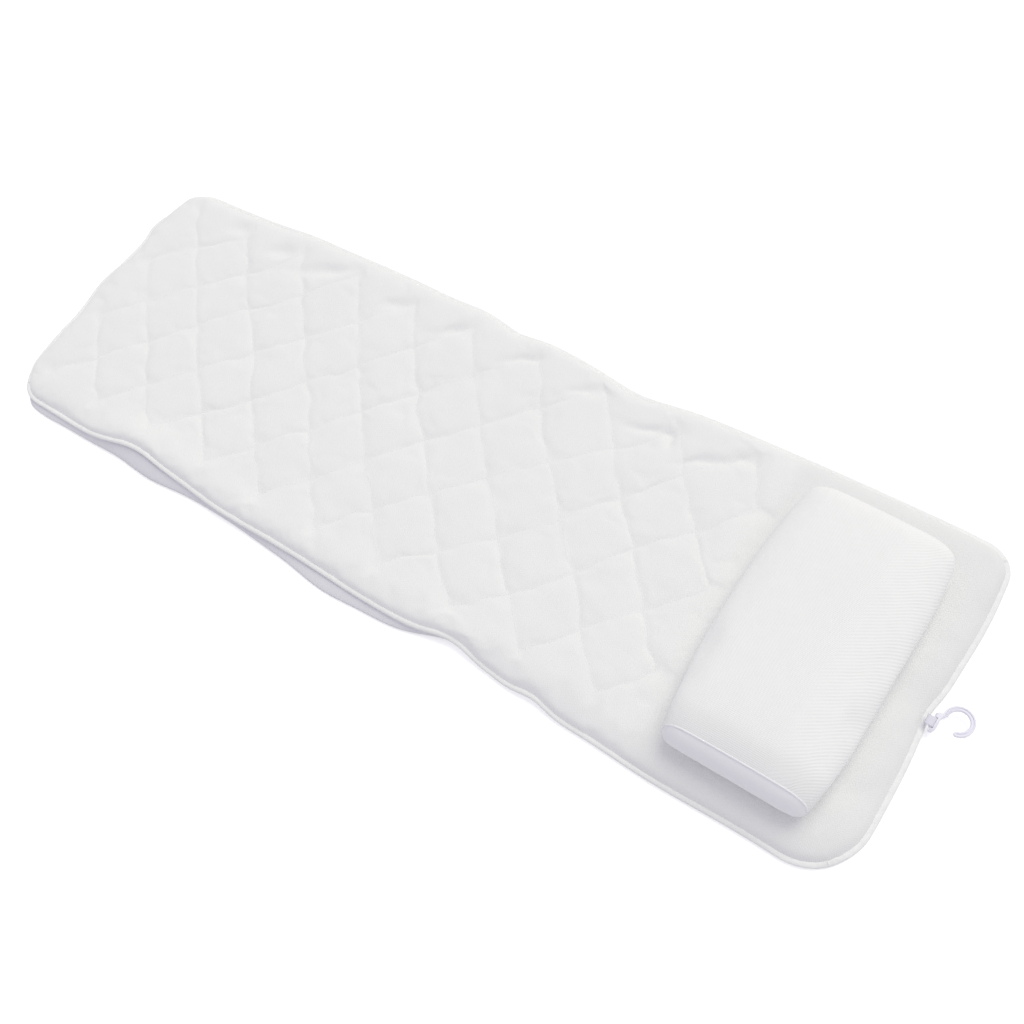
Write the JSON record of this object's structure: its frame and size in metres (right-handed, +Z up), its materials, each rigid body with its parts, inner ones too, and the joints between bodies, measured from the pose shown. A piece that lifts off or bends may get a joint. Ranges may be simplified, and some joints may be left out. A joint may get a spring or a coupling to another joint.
{
  "type": "full-body bath pillow mat",
  "caption": "Long quilted mesh bath mat with suction cups below, a crowned head pillow on its plain head end and a hanging hook; it folds up along the tub's sloping end.",
  "frame": {"origin": "on the floor, under the middle of the whole object's box, hook included", "axes": "+X along the mat towards the pillow and the hook, +Z up, +Y towards the right hand of a bather lying on it"},
  "size_m": [1.2792, 0.4, 0.0827],
  "materials": {
    "quilted_mesh": "soft white mesh knit, quilted in diamonds",
    "base_mesh": "plain white mesh, seen in shade as pale lavender grey",
    "spacer_fibre": "open white spacer fibre",
    "binding_tape": "matt white woven tape",
    "pillow_mesh": "white air mesh with fine zigzag ribs",
    "pillow_knit": "smooth pale lavender-grey knit",
    "fastener_tape": "white touch-fastener tape",
    "cup_vinyl": "soft translucent vinyl",
    "hook_plastic": "semi-gloss white plastic with a lavender tint"
  },
  "bodies": {
    "leg_section": {"quilted_top_leg_section": "quilted_mesh", "spacer_core_leg_section": "spacer_fibre", "base_cover_leg_section": "base_mesh", "edge_binding_leg_section": "binding_tape", "suction_cup_01": "cup_vinyl", "suction_cup_02": "cup_vinyl", "suction_cup_03": "cup_vinyl", "suction_cup_04": "cup_vinyl", "suction_cup_05": "cup_vinyl", "suction_cup_06": "cup_vinyl", "suction_cup_07": "cup_vinyl", "suction_cup_08": "cup_vinyl"},
    "back_section": {"quilted_top_back_section": "quilted_mesh", "spacer_core_back_section": "spacer_fibre", "base_cover_back_section": "base_mesh", "edge_binding_back_section": "binding_tape", "suction_cup_09": "cup_vinyl", "suction_cup_10": "cup_vinyl", "suction_cup_11": "cup_vinyl", "suction_cup_12": "cup_vinyl", "suction_cup_13": "cup_vinyl", "suction_cup_14": "cup_vinyl", "suction_cup_15": "cup_vinyl", "suction_cup_16": "cup_vinyl", "mat_fastener_tape_lower": "fastener_tape", "mat_fastener_tape_upper": "fastener_tape", "hook_tape_loop": "binding_tape"},
    "pillow": {"pillow_wrap": "pillow_mesh", "pillow_core": "spacer_fibre", "pillow_end_panel_left": "pillow_knit", "pillow_seam_cord_left": "pillow_knit", "pillow_end_panel_right": "pillow_knit", "pillow_seam_cord_right": "pillow_knit", "pillow_fastener_tape_lower": "fastener_tape", "pillow_fastener_tape_upper": "fastener_tape"},
    "hook": {"hanging_hook": "hook_plastic"}
  },
  "joints": [
    {"name": "back_fold", "type": "hinge", "parent": "leg_section", "child": "back_section", "pos_m": [-0.0066, 0, 0.0235], "axis": [0, -1, 0], "range_deg": [0, 90]},
    {"name": "pillow_lift", "type": "slide", "parent": "back_section", "child": "pillow", "axis": [0, 0, 1], "range_m": [0, 0.12]},
    {"name": "hook_swing", "type": "hinge", "parent": "back_section", "child": "hook", "pos_m": [0.6031, -0.006, 0.0108], "axis": [0, -1, 0], "range_deg": [-90, 90]}
  ]
}
